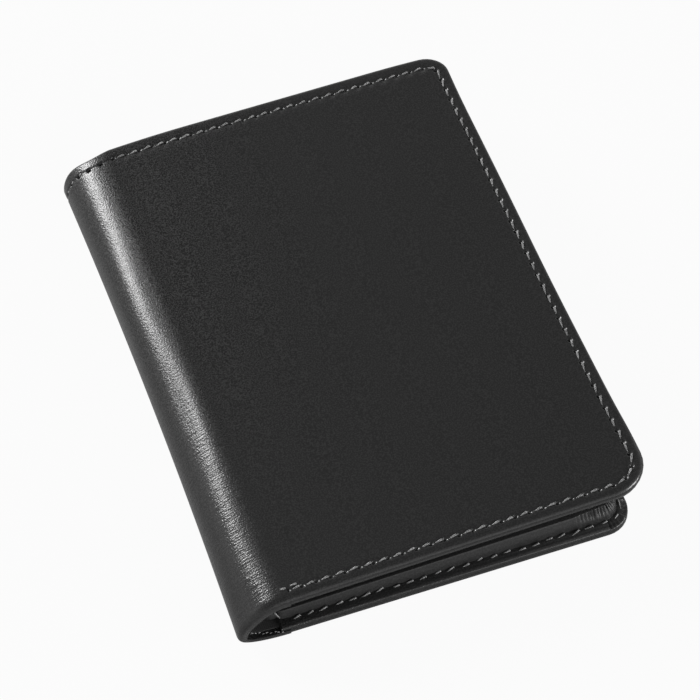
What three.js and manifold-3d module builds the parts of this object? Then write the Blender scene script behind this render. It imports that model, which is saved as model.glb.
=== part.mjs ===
// A vertical leather wallet, closed and lying on its back cover.
// X runs from the fold to the free edges, Y along the fold, Z up, in millimetres.
import * as THREE from "three";
import { mergeVertices } from "three/addons/utils/BufferGeometryUtils.js";
import Module from "manifold-3d";

const wasm = await Module();
wasm.setup();

// Driving dimensions of the closed wallet.
const HEIGHT = 120; // along the fold
const WIDTH = 88; // from the roll of the fold to the front cover's free edge
const THICKNESS = 13.8; // over both covers, where they meet the fold
const FRONT_GAPE = 1.5; // degrees by which the front cover rises towards its free edge
const ROLL_REACH = 11; // how far the roll of the fold stands out from the sewn panels
const ROLL_LEVEL = 3.5; // height of the roll's furthest point: it leans towards the table
const FRONT_OVERHANG = 2.5; // the front cover's free edge passes the back cover's
const FRONT_CORNERS = { near: 8, far: 5 }; // radii of the outer corners at each free edge
const BACK_CORNERS = { near: 6, far: 6 };

// Thickness of each material.
const SKIN = 0.7; // cover leather, pared for turning
const HEM = 0.3; // cover leather where it is turned in over the board
const FRONT_BOARD = 1.15; // padded board of the front cover
const BACK_BOARD = 0.3; // stiffening board of the back cover
const LINING = 0.3; // woven lining
const PANEL = 0.45; // backing leather of the card slots
const SLOT = 0.5; // card slot leather
const FILM = 0.2; // clear film of the identity card window
const ROLL_SKIN = 1; // cover leather over the fold
const NOTE_ROOM = 0.3; // seam allowance that keeps the note compartment open
const CARD_ROOM = 1.1; // seam allowance that keeps a card slot open
const GAP = 0.1; // between layers that lie on each other

// Edges, seams and slots.
const EDGE_ROUND = 0.7; // rounding of the turned edge
const HEM_WIDTH = 7; // how far the turned edge lies over the board
const FRONT_SEAM = 2.4; // stitch line to cover edge
const BACK_SEAM = 1.9;
const GROOVE_WIDTH = 0.9; // pressed groove that the stitches lie in
const GROOVE_DEPTH = 0.2;
const SIDE_CLEARANCE = 0.3; // side room of an inlaid piece
const PANEL_INSET = 0.9; // backing panel to cover edge
const PANEL_FOLD_EDGE = 1; // backing panel to the end of the sewn cover, at the fold
const SEAM_TO_SLOT = 0.4; // card slots lie just inside the seam
const ALLOWANCE_WIDTH = 1.6; // turned-under edge of a slot or panel
const CARD_LENGTH = 85.6; // long side of a bank card, which stands upright in its slot
const CARD_SHOWS = 12; // strip of each card left in view, and step from slot to slot
const LIP_DROP = 12; // first slot's lip below the top of the cover
const TOP_SLOT = 1; // number of the slot that lies uppermost, counting from 0
const WINDOW_BORDER = 12; // leather left around the identity card window
const WINDOW_RADIUS = 3;
const FILM_BORDER = 2; // film to the frame's edge
const NOTCH_RADIUS = 8; // thumb notch in the window frame's lip
const STRIP_GAP = 0.3; // cut between two strips of the fold
const CORNER_STEPS = 7;
const ROUND_STEPS = 3;
const ROLL_STEPS = 5; // facets of each strip of the fold

// Places worked out from the dimensions above.
const FOLD_X = ROLL_REACH - WIDTH / 2; // where the sewn covers end and the fold begins
const FRONT = {
  side: "front",
  edge: WIDTH / 2,
  corners: FRONT_CORNERS,
  seam: FRONT_SEAM,
  board: FRONT_BOARD,
};
const BACK = {
  side: "back",
  edge: WIDTH / 2 - FRONT_OVERHANG,
  corners: BACK_CORNERS,
  seam: BACK_SEAM,
  board: BACK_BOARD,
};
const HALF = HEIGHT / 2;
const PANEL_FOLD_X = FOLD_X + PANEL_FOLD_EDGE;
const PAST_FOLD = FOLD_X - 5; // blanks and cutters run past the fold, to be trimmed there
const SLOT_PITCH = CARD_ROOM + 2 * GAP + SLOT;

// Angles, seen from the centre of the roll, where the fold is divided into strips that flex.
// The second lies in the tight crease near the table. The first strip belongs to the back half
// and the last to the front half.
const STRIP_ENDS = [-90, -14, 30, 65, 90];

const coverLeather = new THREE.MeshStandardMaterial({ color: 0x232324, roughness: 0.42, metalness: 0 });
const slotLeather = new THREE.MeshStandardMaterial({ color: 0x1f1f20, roughness: 0.5, metalness: 0 });
const liningCloth = new THREE.MeshStandardMaterial({ color: 0x19191b, roughness: 0.8, metalness: 0 });
const stiffBoard = new THREE.MeshStandardMaterial({ color: 0x6b6255, roughness: 0.9, metalness: 0 });
const clearFilm = new THREE.MeshStandardMaterial({
  color: 0xe6eaec,
  roughness: 0.15,
  metalness: 0,
  transparent: true,
  opacity: 0.35,
});

// Booleans on closed geometries.
function solid(geometry) {
  const bare = geometry.clone();
  bare.deleteAttribute("normal");
  bare.deleteAttribute("uv");
  const merged = mergeVertices(bare, 1e-4);
  return new wasm.Manifold(
    new wasm.Mesh({
      numProp: 3,
      vertProperties: new Float32Array(merged.attributes.position.array),
      triVerts: new Uint32Array(merged.index.array),
    }),
  );
}

function geometryOf(manifold) {
  const mesh = manifold.getMesh();
  const geometry = new THREE.BufferGeometry();
  geometry.setAttribute("position", new THREE.BufferAttribute(mesh.vertProperties, mesh.numProp));
  geometry.setIndex(new THREE.BufferAttribute(mesh.triVerts, 1));
  geometry.computeVertexNormals();
  return geometry;
}

// Levels of the layers, counted inwards from a cover's outer face.
function boardRoom(cover) {
  return cover.board + 2 * GAP;
}

function rimHeight(cover) {
  return SKIN + boardRoom(cover) + HEM;
}

function panelLevel(cover) {
  return rimHeight(cover) + NOTE_ROOM + 2 * GAP;
}

function slotLevel(cover, step) {
  return panelLevel(cover) + PANEL + CARD_ROOM + 2 * GAP + step * SLOT_PITCH;
}

// Outline of a cover layer: square at the fold, round corners at the free edge.
function coverOutline(foldX, freeX, halfHeight, near, far) {
  const outline = new THREE.Shape();
  outline.moveTo(foldX, -halfHeight);
  outline.lineTo(freeX - near, -halfHeight);
  outline.absarc(freeX - near, near - halfHeight, near, -Math.PI / 2, 0, false);
  outline.lineTo(freeX, halfHeight - far);
  outline.absarc(freeX - far, halfHeight - far, far, 0, Math.PI / 2, false);
  outline.lineTo(foldX, halfHeight);
  outline.closePath();
  return outline;
}

// Outline of a layer that lies a given distance inside the cover's edge.
function insetOutline(cover, inset, foldX) {
  const near = Math.max(cover.corners.near - inset, 1);
  const far = Math.max(cover.corners.far - inset, 1);
  return coverOutline(foldX, cover.edge - inset, HALF - inset, near, far);
}

function sheet(outline, level, thickness) {
  const geometry = new THREE.ExtrudeGeometry(outline, {
    depth: thickness,
    bevelEnabled: false,
    curveSegments: CORNER_STEPS,
  });
  return geometry.translate(0, 0, level);
}

// A sheet whose edge is rounded over on both faces, within the outline.
function roundedSheet(outline, thickness, round) {
  const geometry = new THREE.ExtrudeGeometry(outline, {
    depth: thickness - 2 * round,
    bevelThickness: round,
    bevelSize: round,
    bevelOffset: -round,
    bevelSegments: ROUND_STEPS,
    curveSegments: CORNER_STEPS,
  });
  return geometry.translate(0, 0, round);
}

// Groove pressed into a cover's outer face along the seam.
function stitchGroove(cover) {
  const wide = insetOutline(cover, cover.seam - GROOVE_WIDTH / 2, PAST_FOLD);
  const narrow = insetOutline(cover, cover.seam + GROOVE_WIDTH / 2, PAST_FOLD - GROOVE_WIDTH);
  return solid(sheet(wide, -SKIN, SKIN + GROOVE_DEPTH)).subtract(solid(sheet(narrow, -HALF, HEIGHT)));
}

// Cover leather: outer face at z = 0, turned up and over the board along its three free sides.
// It is open at the fold and has the stitch groove in its outer face.
function turnedCover(cover) {
  const rim = rimHeight(cover);
  const blank = roundedSheet(insetOutline(cover, 0, PAST_FOLD), rim, EDGE_ROUND);
  const boardPocket = sheet(insetOutline(cover, SKIN, PAST_FOLD), SKIN, boardRoom(cover));
  const hemWindow = sheet(insetOutline(cover, HEM_WIDTH, PAST_FOLD), SKIN + GAP, rim);
  const beyondFold = new THREE.BoxGeometry(WIDTH, 2 * HEIGHT, HEIGHT);
  beyondFold.translate(FOLD_X - WIDTH / 2, 0, 0);
  return geometryOf(
    solid(blank)
      .subtract(solid(boardPocket))
      .subtract(solid(hemWindow))
      .subtract(stitchGroove(cover))
      .subtract(solid(beyondFold)),
  );
}

function stiffener(cover) {
  return sheet(insetOutline(cover, SKIN + SIDE_CLEARANCE, FOLD_X), SKIN + GAP, cover.board);
}

// Lining of the note compartment, laid in the window that the hem leaves.
function compartmentLining(cover) {
  const outline = insetOutline(cover, HEM_WIDTH + SIDE_CLEARANCE, FOLD_X);
  return sheet(outline, rimHeight(cover) - LINING, LINING);
}

// Backing panel of the card slots, sewn along three sides and open at the fold for notes.
function backingPanel(cover) {
  return sheet(insetOutline(cover, PANEL_INSET, PANEL_FOLD_X), panelLevel(cover), PANEL);
}

// Turned-under edge of the panel's three sewn sides, which leaves room for notes from the fold.
function panelAllowance(cover) {
  const outline = insetOutline(cover, PANEL_INSET, PANEL_FOLD_X);
  const whole = sheet(outline, rimHeight(cover) + GAP, NOTE_ROOM);
  const room = sheet(insetOutline(cover, PANEL_INSET + ALLOWANCE_WIDTH, PAST_FOLD), 0, HEIGHT);
  return geometryOf(solid(whole).subtract(solid(room)));
}

// Where a slot's lip lies: each slot that is laid over another ends lower.
function lipY(step) {
  return HALF - LIP_DROP - step * CARD_SHOWS;
}

// Outer side and foot of the card slots.
function slotEdge(cover) {
  return cover.edge - cover.seam - SEAM_TO_SLOT;
}

function slotFoot(cover) {
  return cover.seam + SEAM_TO_SLOT - HALF;
}

// Outline of a slot: round at its foot by the free edge, straight along its lip.
function slotOutline(cover, step) {
  const freeX = slotEdge(cover);
  const foot = slotFoot(cover);
  const radius = cover.corners.near - cover.seam - SEAM_TO_SLOT;
  const outline = new THREE.Shape();
  outline.moveTo(PANEL_FOLD_X, foot);
  outline.lineTo(freeX - radius, foot);
  outline.absarc(freeX - radius, foot + radius, radius, -Math.PI / 2, 0, false);
  outline.lineTo(freeX, lipY(step));
  outline.lineTo(PANEL_FOLD_X, lipY(step));
  outline.closePath();
  return outline;
}

function cardSlot(cover, step) {
  return sheet(slotOutline(cover, step), slotLevel(cover, step), SLOT);
}

// Turned-under edge along a slot's sides and foot. Its foot reaches up to where the card stands.
function slotAllowance(cover, step) {
  const left = PANEL_FOLD_X + ALLOWANCE_WIDTH;
  const right = slotEdge(cover) - ALLOWANCE_WIDTH;
  const foot = lipY(step) + CARD_SHOWS - CARD_LENGTH;
  const level = slotLevel(cover, step) - GAP - CARD_ROOM;
  const whole = sheet(slotOutline(cover, step), level, CARD_ROOM);
  const room = new THREE.BoxGeometry(right - left, HEIGHT, HEIGHT);
  room.translate((left + right) / 2, foot + HALF, 0);
  return geometryOf(solid(whole).subtract(solid(room)));
}

// Opening of the identity card window, with round corners.
function windowOpening(left, right, low, high) {
  const corners = [
    [right - WINDOW_RADIUS, low + WINDOW_RADIUS],
    [right - WINDOW_RADIUS, high - WINDOW_RADIUS],
    [left + WINDOW_RADIUS, high - WINDOW_RADIUS],
    [left + WINDOW_RADIUS, low + WINDOW_RADIUS],
  ];
  const opening = new THREE.Path();
  corners.forEach(([x, y], quarter) => {
    const start = (quarter - 1) * (Math.PI / 2);
    opening.absarc(x, y, WINDOW_RADIUS, start, start + Math.PI / 2, false);
  });
  return opening;
}

// Frame of the identity card window: a slot with an opening and a thumb notch in its lip.
function windowFrame(cover, level) {
  const left = PANEL_FOLD_X + WINDOW_BORDER;
  const right = slotEdge(cover) - WINDOW_BORDER;
  const high = lipY(TOP_SLOT) - NOTCH_RADIUS - WINDOW_BORDER / 2;
  const low = lipY(TOP_SLOT) + CARD_SHOWS - CARD_LENGTH + WINDOW_BORDER / 2;
  const outline = slotOutline(cover, TOP_SLOT);
  outline.holes.push(windowOpening(left, right, low, high));
  const notch = new THREE.CylinderGeometry(NOTCH_RADIUS, NOTCH_RADIUS, HEIGHT, 32);
  notch.rotateX(Math.PI / 2).translate((left + right) / 2, lipY(TOP_SLOT), 0);
  return geometryOf(solid(sheet(outline, level, SLOT)).subtract(solid(notch)));
}

// Clear film behind the window, sewn in with the frame and clear of the notch.
function windowFilm(cover, level) {
  const left = PANEL_FOLD_X + FILM_BORDER;
  const right = slotEdge(cover) - FILM_BORDER;
  const high = lipY(TOP_SLOT) - NOTCH_RADIUS - FILM_BORDER / 2;
  const outline = windowOpening(left, right, slotFoot(cover) + FILM_BORDER, high);
  return sheet(new THREE.Shape(outline.getPoints(CORNER_STEPS)), level, FILM);
}

// A point of the fold's roll, at a depth below its outer face. The roll is two quarter ellipses.
function rollPoint(degrees, depth) {
  const angle = THREE.MathUtils.degToRad(degrees);
  const rise = degrees < 0 ? ROLL_LEVEL : THICKNESS - ROLL_LEVEL;
  return new THREE.Vector2(
    FOLD_X - (ROLL_REACH - depth) * Math.cos(angle),
    ROLL_LEVEL + (rise - depth) * Math.sin(angle),
  );
}

// Draws both ends of a run of points in by half the cut between strips.
function trimEnds(points) {
  const last = points.length - 1;
  for (const [end, next] of [[0, 1], [last, last - 1]]) {
    const along = points[next].clone().sub(points[end]);
    points[end].addScaledVector(along, STRIP_GAP / 2 / along.length());
  }
}

// One strip of the fold between two of its ends, a curved sheet that runs the wallet's full height.
function rollStrip(step, depth, thickness) {
  const outer = [];
  const inner = [];
  for (let i = 0; i <= ROLL_STEPS; i += 1) {
    const degrees = THREE.MathUtils.lerp(STRIP_ENDS[step], STRIP_ENDS[step + 1], i / ROLL_STEPS);
    outer.push(rollPoint(degrees, depth));
    inner.push(rollPoint(degrees, depth + thickness));
  }
  trimEnds(outer);
  trimEnds(inner);
  const section = new THREE.Shape([...inner, ...outer.reverse()]);
  const geometry = new THREE.ExtrudeGeometry(section, { depth: HEIGHT, bevelEnabled: false });
  return geometry.rotateX(Math.PI / 2).translate(0, HALF, 0);
}

function piece(name, geometry, material) {
  const mesh = new THREE.Mesh(geometry, material);
  mesh.name = name;
  return mesh;
}

// Layers that both covers have, from the outer face inwards.
function coverHalf(cover) {
  const half = new THREE.Group();
  half.add(
    piece(`${cover.side}_cover_leather`, turnedCover(cover), coverLeather),
    piece(`${cover.side}_board`, stiffener(cover), stiffBoard),
    piece(`${cover.side}_lining`, compartmentLining(cover), liningCloth),
    piece(`${cover.side}_panel_allowance`, panelAllowance(cover), slotLeather),
    piece(`${cover.side}_inner_panel`, backingPanel(cover), slotLeather),
  );
  return half;
}

// A card slot with its turned-under edge.
function addSlot(half, cover, step) {
  half.add(
    piece(`${cover.side}_slot_${step + 1}_allowance`, slotAllowance(cover, step), slotLeather),
    piece(`${cover.side}_card_slot_${step + 1}`, cardSlot(cover, step), slotLeather),
  );
}

const wallet = new THREE.Group();

// Back half: two stepped card slots.
const back = coverHalf(BACK);
for (let step = 0; step <= TOP_SLOT; step += 1) {
  addSlot(back, BACK, step);
}
wallet.add(back);

// Front half: a card slot under an identity card window.
const front = coverHalf(FRONT);
const filmLevel = slotLevel(FRONT, TOP_SLOT);
addSlot(front, FRONT, 0);
front.add(
  piece("id_window_allowance", slotAllowance(FRONT, TOP_SLOT), slotLeather),
  piece("id_window_film", windowFilm(FRONT, filmLevel), clearFilm),
  piece("id_window_frame", windowFrame(FRONT, filmLevel + FILM + GAP), slotLeather),
);

// The front half is mirrored to face the back half, and gapes from the end of the fold.
front.scale.z = -1;
front.position.x = -FOLD_X;
const foldEnd = new THREE.Group();
foldEnd.add(front);
foldEnd.rotation.y = -THREE.MathUtils.degToRad(FRONT_GAPE);
foldEnd.position.set(FOLD_X, 0, THICKNESS);
wallet.add(foldEnd);

// Fold: cover leather and lining in strips that flex against each other as the wallet opens.
for (let step = 0; step < STRIP_ENDS.length - 1; step += 1) {
  wallet.add(
    piece(`spine_leather_${step + 1}`, rollStrip(step, 0, ROLL_SKIN), coverLeather),
    piece(`spine_lining_${step + 1}`, rollStrip(step, ROLL_SKIN + GAP, LINING), liningCloth),
  );
}

export default wallet;
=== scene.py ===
import math
import random

import bmesh
import bpy
from mathutils import Matrix, Vector


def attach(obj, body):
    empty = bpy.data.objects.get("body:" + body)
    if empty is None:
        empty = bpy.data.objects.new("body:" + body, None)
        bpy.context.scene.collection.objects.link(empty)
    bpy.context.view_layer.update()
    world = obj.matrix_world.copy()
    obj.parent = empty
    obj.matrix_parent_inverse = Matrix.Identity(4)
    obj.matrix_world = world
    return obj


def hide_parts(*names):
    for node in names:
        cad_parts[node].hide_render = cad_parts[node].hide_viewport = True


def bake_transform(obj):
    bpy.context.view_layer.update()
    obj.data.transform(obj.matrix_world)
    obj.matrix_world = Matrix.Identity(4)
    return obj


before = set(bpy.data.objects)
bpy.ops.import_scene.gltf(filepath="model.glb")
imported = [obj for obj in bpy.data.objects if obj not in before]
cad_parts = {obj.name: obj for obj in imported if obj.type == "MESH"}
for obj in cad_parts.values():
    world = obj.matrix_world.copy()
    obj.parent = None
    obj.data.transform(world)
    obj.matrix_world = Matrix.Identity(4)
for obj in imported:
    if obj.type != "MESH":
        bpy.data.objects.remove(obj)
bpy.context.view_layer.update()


# Camera.
# It looks down on the near edge of the closed wallet, from the side of the fold, and stands far
# enough off for the edges to stay nearly parallel.
mm = 0.001
AIM = Vector((0, 0, 13.8)) * mm
AIM_RIGHT, AIM_UP = -0.996 * mm, 6.873 * mm  # the aim lies this far from the picture's middle
AZIMUTH, ELEVATION, TILT = (math.radians(turn) for turn in (-21.188, 54.978, 1.388))
DISTANCE = 576.568 * mm
SENSOR, PICTURE, FOCAL_PIXELS = 36, 700, 2767

away = Vector((
    math.sin(AZIMUTH) * math.cos(ELEVATION),
    -math.cos(AZIMUTH) * math.cos(ELEVATION),
    math.sin(ELEVATION),
))
level_right = Vector((math.cos(AZIMUTH), math.sin(AZIMUTH), 0))
level_up = away.cross(level_right)
right = level_right * math.cos(TILT) + level_up * math.sin(TILT)
up = level_up * math.cos(TILT) - level_right * math.sin(TILT)
bpy.ops.object.select_all(action="DESELECT")
bpy.ops.object.camera_add()
camera = bpy.context.object
camera.data.sensor_width = SENSOR
camera.data.lens = FOCAL_PIXELS / PICTURE * SENSOR
stand = AIM - AIM_RIGHT * right - AIM_UP * up + DISTANCE * away
camera.matrix_world = Matrix.Translation(stand) @ Matrix((right, up, away)).transposed().to_4x4()
scene = bpy.context.scene
scene.camera = camera
scene.view_settings.view_transform = "Standard"


# Floor and light.
# A white table under a dim ceiling. A soft box, low behind the fold, draws the bright band along the
# roll, one above it softens the band, and two in front light the near edge and its corner.
class Shade:
    """One socket of a node tree. Arithmetic on it adds Math nodes."""

    def __init__(self, tree, socket=None):
        self.tree = tree
        self.socket = socket

    def node(self, kind, settings=None, inputs=None, output=0):
        """Adds a node, sets it, then fills or links its sockets, and returns one of its outputs."""
        node = self.tree.nodes.new("ShaderNode" + kind)
        for name, value in (settings or {}).items():
            setattr(node, name, value)
        for name, value in (inputs or {}).items():
            if isinstance(value, Shade):
                self.tree.links.new(value.socket, node.inputs[name])
            else:
                node.inputs[name].default_value = value
        return Shade(self.tree, node.outputs[output]) if node.outputs else None

    def math(self, operation, first, second=0.0):
        return self.node("Math", {"operation": operation}, {0: first, 1: second})

    def __add__(self, other):
        return self.math("ADD", self, other)

    def __radd__(self, other):
        return self.math("ADD", other, self)

    def __sub__(self, other):
        return self.math("SUBTRACT", self, other)

    def __rsub__(self, other):
        return self.math("SUBTRACT", other, self)

    def __mul__(self, other):
        return self.math("MULTIPLY", self, other)

    def __rmul__(self, other):
        return self.math("MULTIPLY", other, self)

    def ramp(self, start, end):
        """0 up to start, 1 from end on, and a smooth step between them."""
        limits = {"Value": self, "From Min": start, "From Max": end}
        return self.node("MapRange", {"interpolation_type": "SMOOTHSTEP"}, limits)

    def scaled(self, *scale):
        """A vector stretched along its three axes."""
        return self.node("VectorMath", {"operation": "MULTIPLY"}, {0: self, 1: scale})

    def blend_colours(self, first, second):
        """A colour between two, with this value as the share of the second."""
        return self.node("Mix", {"data_type": "RGBA"}, {0: self, 6: first, 7: second}, output=2)


def open_tree(owner):
    owner.use_nodes = True
    owner.node_tree.nodes.clear()
    return Shade(owner.node_tree)


def close_tree(tree, shader, kind="OutputMaterial"):
    tree.node(kind, inputs={"Surface": shader})


def grey(level):
    return (level, level, level, 1)


FLOOR_SIZE = 6.0
FLOOR_DROP = 0.05 * mm  # keeps the floor clear of the back cover
FLOOR_WHITE = 0.5
FLOOR_GLOW = 0.95  # share of plain white that the camera sees, the rest shows the shadow
MIRRORED = 0.15  # and the share that the leather mirrors, of the floor and of the room
CEILING, WALL = 0.117, 0.71
WALL_RISE = (0.05, 0.7)  # heights between which the wall darkens into the ceiling
BOXES = (
    ("soft_box", Vector((-0.57, 0.735, 0.409)), 1.0, (0.5, 0.27), 8.2, 57),
    ("halo_box", Vector((-0.53, 0.68, 0.67)), 1.1, (0.5, 0.6), 1.6, 0),
    ("fill_card", Vector((0.3, -0.9, 0.3)), 1.4, (2.4, 1.2), 3.9, 0),
    ("corner_box", Vector((0.8, -0.56, 0.24)), 1.2, (0.65, 0.22), 7.0, -23),
)  # the way to each, its distance, width and height, its power, and how many degrees it leans


def white_share(tree, seen):
    """Share of plain white that a ray meets: all that is seen by the camera, and a part of it in mirrors."""
    kinds = ("Is Camera Ray", "Is Transmission Ray", "Is Glossy Ray")
    camera_ray, through, glossy = (tree.node("LightPath", output=kind) for kind in kinds)
    return (camera_ray + through) * seen + glossy * MIRRORED


bpy.ops.object.select_all(action="DESELECT")
bpy.ops.mesh.primitive_plane_add(size=FLOOR_SIZE, location=(0, 0, -FLOOR_DROP))
floor = bpy.context.object
floor.name = "floor"
floor_material = bpy.data.materials.new("white table")
tree = open_tree(floor_material)
paper = tree.node("BsdfDiffuse", inputs={"Color": grey(FLOOR_WHITE)})
glow = tree.node("Emission", inputs={"Color": grey(1), "Strength": 1.0})
close_tree(tree, tree.node("MixShader", inputs={0: white_share(tree, FLOOR_GLOW), 1: paper, 2: glow}))
floor.data.materials.append(floor_material)

scene.world = scene.world or bpy.data.worlds.new("studio")
tree = open_tree(scene.world)
height = tree.node("SeparateXYZ", inputs={0: tree.node("TexCoord", output="Generated")}, output="Z")
room_tone = height.ramp(*WALL_RISE).blend_colours(grey(WALL), grey(CEILING))
room = tree.node("Background", inputs={"Color": room_tone})
white = tree.node("Background", inputs={"Color": grey(1)})
close_tree(tree, tree.node("MixShader", inputs={0: white_share(tree, 1.0), 1: room, 2: white}), "OutputWorld")

for name, way, distance, spread, power, lean in BOXES:
    bpy.ops.object.light_add(type="AREA", location=way * distance)
    box = bpy.context.object
    box.name = name
    box.data.shape = "RECTANGLE"
    box.data.size, box.data.size_y = spread
    box.data.energy = power
    box.rotation_euler = way.to_track_quat("Z", "Y").to_euler()
    box.rotation_euler.rotate_axis("Z", math.radians(lean))
    box.visible_camera = False


# Cover leather.
# One smooth black hide, pared thin, drawn over a board in each half, turned in over the three free
# edges and pressed along the seam, where each needle hole leaves a pit.
HALF = 60 * mm  # of the length
FOLD_X = -33 * mm  # the sewn covers end here and the roll of the fold begins
THICK = 13.8 * mm  # over both covers, at the fold
GAPE = math.radians(1.5)  # the front rises a little towards its free edge
CLOSE = 0.01 * mm  # points nearer than this count as one
WELD = 0.002 * mm  # and nearer than this they are welded
CORNER = 6 * mm  # of the even blank
FRONT_CORNERS, BACK_CORNERS = (8 * mm, 5 * mm), (6 * mm, 6 * mm)  # near and far
FRONT_EDGE, BACK_EDGE = 43.88 * mm, 41.5 * mm
FRONT_RIM, BACK_RIM = 2.85 * mm, 1.5 * mm  # from the outer face to the face of the turned hem
# How far in from the near edge and the others the outer face begins to round over, and how deep it drops.
FRONT_FORM = (2.0 * mm, 1.2 * mm), (0.9 * mm, 0.5 * mm)
BACK_FORM = (0.9 * mm, 0.5 * mm), (0.9 * mm, 0.5 * mm)
FORM_START, FORM_RUN = 6 * mm, 10 * mm  # where beside the near edge one form passes into the other
SKIN, HEM = 0.7 * mm, 0.3 * mm  # the hide over the board, and pared where it is turned in
FRONT_NOSE, BACK_NOSE = 0.6 * mm, 0.12 * mm  # rounding of the turned edge on its inner side
EDGE_WALL = 1.0 * mm  # the hide where it wraps the edge of the board
SEAM_STRIP = (1.2 * mm, 2.4 * mm, 3.6 * mm)  # lines that bound the pressed strip of the seam
COARSE = 1.5 * mm  # step between the points of the blank
FINE_CUTS = 5  # how often that is divided along the seam
PITCH = 3.0 * mm  # from one needle hole to the next
GROOVE_DEPTH, GROOVE_REACH = 0.12 * mm, 0.5 * mm
PIT_DEPTH, PIT_REACH = 0.58 * mm, 0.36 * mm
FRONT_SEAM_INSETS = (2.26 * mm, 2.43 * mm, 3.0 * mm)  # from the near, free and far edges
BACK_SEAM_INSETS = (1.9 * mm, 1.9 * mm, 1.9 * mm)
GRAIN = 0.3 * mm  # width of a cell
# Where the hide changes, across the wallet and along it, and where its specks are painted as glints.
FLAT_ACROSS = (-37 * mm, -31 * mm)  # the roll passes into the flat cover
WORN_ACROSS, WORN_ALONG = (-35 * mm, 20 * mm), (60 * mm, -60 * mm)  # use has smoothed the grain
CREASED_ALONG = (-30 * mm, 15 * mm)  # the creases round the roll fade out
# Painted glints: the specks are painted with more contrast on the roll and the top beside it, towards the far
# end, where the soft box's light falls.
GLINT_ACROSS, GLINT_ALONG = (-38 * mm, 12 * mm), (-60 * mm, 45 * mm)  # the speckle is strongest
FRONT_PLACE = Matrix((
    (math.cos(GAPE), 0, math.sin(GAPE), FOLD_X - FOLD_X * math.cos(GAPE)),
    (0, 1, 0, 0),
    (math.sin(GAPE), 0, -math.cos(GAPE), THICK - FOLD_X * math.sin(GAPE)),
    (0, 0, 0, 1),
))
BACK_SKEW = 0.0065  # the back lies a little askew under the front
BACK_PLACE = Matrix((
    (1, 0, 0, 0),
    (-BACK_SKEW, 1, 0, 0),
    (0, 0, 1, 0),
    (0, 0, 0, 1),
))


def thread_pull(gap, beside):
    """How deep the thread draws in the leather, so far from a needle hole and beside the seam."""
    groove = GROOVE_DEPTH * math.exp(-((beside / GROOVE_REACH) ** 2))
    return groove + PIT_DEPTH * math.exp(-(gap * gap + beside * beside) / PIT_REACH ** 2)


class Seam:
    """The line of stitches along the near, free and far edges of one half, laid flat."""

    def __init__(self, edge, corners, near, free, far):
        self.bends = [corner - free for corner in corners]
        self.right = edge - free
        self.low = near - HALF
        self.high = HALF - far
        near_bend, far_bend = self.bends
        self.turns = [bend * math.pi / 2 for bend in self.bends]
        self.straights = [self.right - bend - FOLD_X for bend in self.bends]
        self.side = self.high - self.low - near_bend - far_bend
        self.length = sum(self.straights) + sum(self.turns) + self.side
        self.count = round(self.length / PITCH)
        self.pitch = self.length / self.count

    def point(self, run):
        """Place and heading at a distance along the seam, from the fold by way of the near edge."""
        near, far = self.bends
        if run <= self.straights[0]:
            return FOLD_X + run, self.low, 0.0
        run -= self.straights[0]
        if run <= self.turns[0]:
            angle = run / near
            x = self.right - near + near * math.sin(angle)
            return x, self.low + near * (1 - math.cos(angle)), angle
        run -= self.turns[0]
        if run <= self.side:
            return self.right, self.low + near + run, math.pi / 2
        run -= self.side
        if run <= self.turns[1]:
            angle = run / far
            x = self.right - far + far * math.cos(angle)
            return x, self.high - far * (1 - math.sin(angle)), math.pi / 2 + angle
        return self.right - far - (run - self.turns[1]), self.high, math.pi

    def locate(self, x, y):
        """How far along the seam a point lies, and how far beside it."""
        near, far = self.bends
        low, high = self.low + near, self.high - far
        start = self.straights[0] + self.turns[0]
        if y < low and x > self.right - near:
            dx, dy = x - self.right + near, low - y
            return self.straights[0] + near * math.atan2(dx, dy), abs(math.hypot(dx, dy) - near)
        if y > high and x > self.right - far:
            dx, dy = x - self.right + far, y - high
            return start + self.side + far * math.atan2(dy, dx), abs(math.hypot(dx, dy) - far)
        beside = abs(y - self.low), abs(x - self.right), abs(y - self.high)
        runs = x - FOLD_X, start + y - low, self.length - (x - FOLD_X)
        return min(zip(beside, runs))[::-1]

    def pressed(self, x, y):
        """How deep the leather is drawn in by the thread, deepest at the needle holes."""
        run, beside = self.locate(x, y)
        phase = run / self.pitch % 1
        return thread_pull(min(phase, 1 - phase) * self.pitch, beside)


def draw_chain(name, points):
    """Starts a piece, in edit mode, as a chain of edges extruded from point to point."""
    bpy.ops.object.select_all(action="DESELECT")
    bpy.ops.mesh.primitive_plane_add(size=mm)
    piece = bpy.context.object
    piece.name = name
    bpy.ops.object.mode_set(mode="EDIT")
    bpy.ops.mesh.select_mode(type="VERT")
    bpy.ops.mesh.merge(type="CENTER")
    bpy.ops.transform.translate(value=points[0])
    for here, there in zip(points, points[1:]):
        bpy.ops.mesh.extrude_vertices_move(TRANSFORM_OT_translate={"value": there - here})
    bpy.ops.mesh.select_all(action="SELECT")
    return piece


def pick(kind, test, open_only=False):
    """Selects, in edit mode, the vertices, edges or faces whose middle passes a test."""
    bpy.ops.mesh.select_mode(type=kind)
    bpy.ops.mesh.select_all(action="DESELECT")
    mesh = bmesh.from_edit_mesh(bpy.context.object.data)
    parts = {"VERT": mesh.verts, "EDGE": mesh.edges, "FACE": mesh.faces}[kind]
    for part in parts:
        corners = [part] if kind == "VERT" else part.verts
        middle = sum((corner.co for corner in corners), Vector()) / len(corners)
        part.select = bool(test(middle)) and (not open_only or part.is_boundary)
    mesh.select_flush_mode()
    bmesh.update_edit_mesh(bpy.context.object.data)


def reshape(piece, move):
    """Moves every point of a piece, in object mode, to where a function puts it."""
    for vertex in piece.data.vertices:
        vertex.co = move(vertex.co)


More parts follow.
